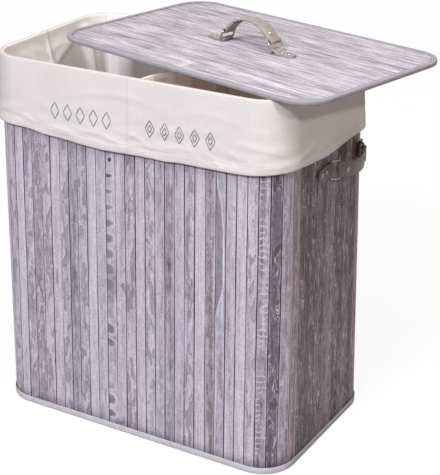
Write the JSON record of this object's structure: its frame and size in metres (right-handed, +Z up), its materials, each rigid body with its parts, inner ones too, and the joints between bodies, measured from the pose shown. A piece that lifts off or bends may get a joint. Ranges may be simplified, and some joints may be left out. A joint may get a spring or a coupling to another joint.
{
  "type": "two-bin laundry hamper",
  "caption": "Tall rectangular bamboo-slat laundry hamper with rounded corners, a cotton liner with a divider and turned-down cuff, a loose slatted lid and leather strap handles.",
  "frame": {"origin": "on the floor, under the middle of the slat wall", "axes": "+X to the right end along the long side, -Y to the front, +Z up"},
  "size_m": [0.6416, 0.4259, 0.6395],
  "materials": {
    "slats": "whitewashed grey bamboo, satin",
    "tape": "woven grey binding tape",
    "cotton": "off-white cotton and linen cloth",
    "board": "plain fibreboard",
    "leather": "taupe grey coated leather",
    "nickel": "polished nickel plate",
    "steel": "bare spring steel wire"
  },
  "bodies": {
    "body": {"slat_wall": "slats", "foot_hem_tape": "tape", "rim_hem_tape": "tape", "foot_hoop": "steel", "rim_hoop": "steel", "base_cloth": "tape", "base_board": "board", "right_handle_tab_front": "leather", "right_handle_tab_rivet_front_1": "nickel", "right_handle_tab_rivet_front_2": "nickel", "right_handle_tab_back": "leather", "right_handle_tab_rivet_back_1": "nickel", "right_handle_tab_rivet_back_2": "nickel", "left_handle_tab_back": "leather", "left_handle_tab_rivet_back_1": "nickel", "left_handle_tab_rivet_back_2": "nickel", "left_handle_tab_front": "leather", "left_handle_tab_rivet_front_1": "nickel", "left_handle_tab_rivet_front_2": "nickel"},
    "liner": {"liner_cuff_front": "cotton", "liner_cuff_right": "cotton", "liner_cuff_back": "cotton", "liner_cuff_left": "cotton", "liner_bag_front": "cotton", "liner_bag_right": "cotton", "liner_bag_back": "cotton", "liner_bag_left": "cotton", "liner_bottom": "cotton", "liner_divider": "cotton"},
    "lid": {"lid_lining": "cotton", "lid_board": "board", "lid_slats": "slats", "lid_edge_tape": "tape", "lid_handle_tab_left": "leather", "lid_handle_tab_rivet_left_1": "nickel", "lid_handle_tab_rivet_left_2": "nickel", "lid_handle_tab_right": "leather", "lid_handle_tab_rivet_right_1": "nickel", "lid_handle_tab_rivet_right_2": "nickel"},
    "right_handle_ring_front_body": {"right_handle_ring_front": "nickel"},
    "right_handle_ring_back_body": {"right_handle_ring_back": "nickel"},
    "right_handle_strap_body": {"right_handle_strap": "leather", "right_handle_strap_rivet_front": "nickel", "right_handle_strap_rivet_back": "nickel"},
    "left_handle_ring_back_body": {"left_handle_ring_back": "nickel"},
    "left_handle_ring_front_body": {"left_handle_ring_front": "nickel"},
    "left_handle_strap_body": {"left_handle_strap": "leather", "left_handle_strap_rivet_back": "nickel", "left_handle_strap_rivet_front": "nickel"},
    "lid_handle_ring_left_body": {"lid_handle_ring_left": "nickel"},
    "lid_handle_ring_right_body": {"lid_handle_ring_right": "nickel"},
    "lid_handle_strap_body": {"lid_handle_strap": "leather", "lid_handle_strap_rivet_left": "nickel", "lid_handle_strap_rivet_right": "nickel"}
  },
  "joints": [
    {"name": "liner_lift", "type": "slide", "parent": "body", "child": "liner", "axis": [0, 0, 1], "range_m": [0, 0.62]},
    {"name": "lid_lift", "type": "slide", "parent": "liner", "child": "lid", "axis": [0, 0, 1], "range_m": [0, 0.3]},
    {"name": "right_handle_sway", "type": "hinge", "parent": "body", "child": "right_handle_ring_front_body", "pos_m": [0.25748, -0.003, 0.45005], "axis": [-0.0136, 0, 0.9999], "range_deg": [-12, 12]},
    {"name": "right_handle_strap_turn", "type": "hinge", "parent": "right_handle_ring_front_body", "child": "right_handle_strap_body", "pos_m": [0.2693, 0.00623, 0.45021], "axis": [-0.0136, 0, 0.9999], "range_deg": [-20, 20]},
    {"name": "right_handle_ring_back_turn", "type": "hinge", "parent": "body", "child": "right_handle_ring_back_body", "pos_m": [0.25748, 0.097, 0.45005], "axis": [-0.0136, 0, 0.9999], "range_deg": [-12, 12]},
    {"name": "left_handle_sway", "type": "hinge", "parent": "body", "child": "left_handle_ring_back_body", "pos_m": [-0.25748, 0.097, 0.45005], "axis": [0.0136, 0, 0.9999], "range_deg": [-12, 12]},
    {"name": "left_handle_strap_turn", "type": "hinge", "parent": "left_handle_ring_back_body", "child": "left_handle_strap_body", "pos_m": [-0.2693, 0.08776, 0.45021], "axis": [0.0136, 0, 0.9999], "range_deg": [-20, 20]},
    {"name": "left_handle_ring_front_turn", "type": "hinge", "parent": "body", "child": "left_handle_ring_front_body", "pos_m": [-0.25748, -0.003, 0.45005], "axis": [0.0136, 0, 0.9999], "range_deg": [-12, 12]},
    {"name": "lid_handle_sway", "type": "hinge", "parent": "lid", "child": "lid_handle_ring_left_body", "pos_m": [0.03817, 0.07197, 0.5993], "axis": [0.2317, 0.9728, 0], "range_deg": [-15, 15]},
    {"name": "lid_handle_strap_turn", "type": "hinge", "parent": "lid_handle_ring_left_body", "child": "lid_handle_strap_body", "pos_m": [0.04316, 0.07078, 0.6134], "axis": [0.2317, 0.9728, 0], "range_deg": [-20, 20]},
    {"name": "lid_handle_ring_right_turn", "type": "hinge", "parent": "lid", "child": "lid_handle_ring_right_body", "pos_m": [0.13934, 0.04786, 0.5993], "axis": [0.2317, 0.9728, 0], "range_deg": [-15, 15]}
  ],
  "couplings": [
    {"joint": "right_handle_strap_turn", "follows": "right_handle_sway", "ratio": -1.222},
    {"joint": "right_handle_ring_back_turn", "follows": "right_handle_sway", "ratio": 0.976},
    {"joint": "left_handle_strap_turn", "follows": "left_handle_sway", "ratio": -1.222},
    {"joint": "left_handle_ring_front_turn", "follows": "left_handle_sway", "ratio": 0.976},
    {"joint": "lid_handle_strap_turn", "follows": "lid_handle_sway", "ratio": -1.108},
    {"joint": "lid_handle_ring_right_turn", "follows": "lid_handle_sway", "ratio": 0.9932}
  ]
}
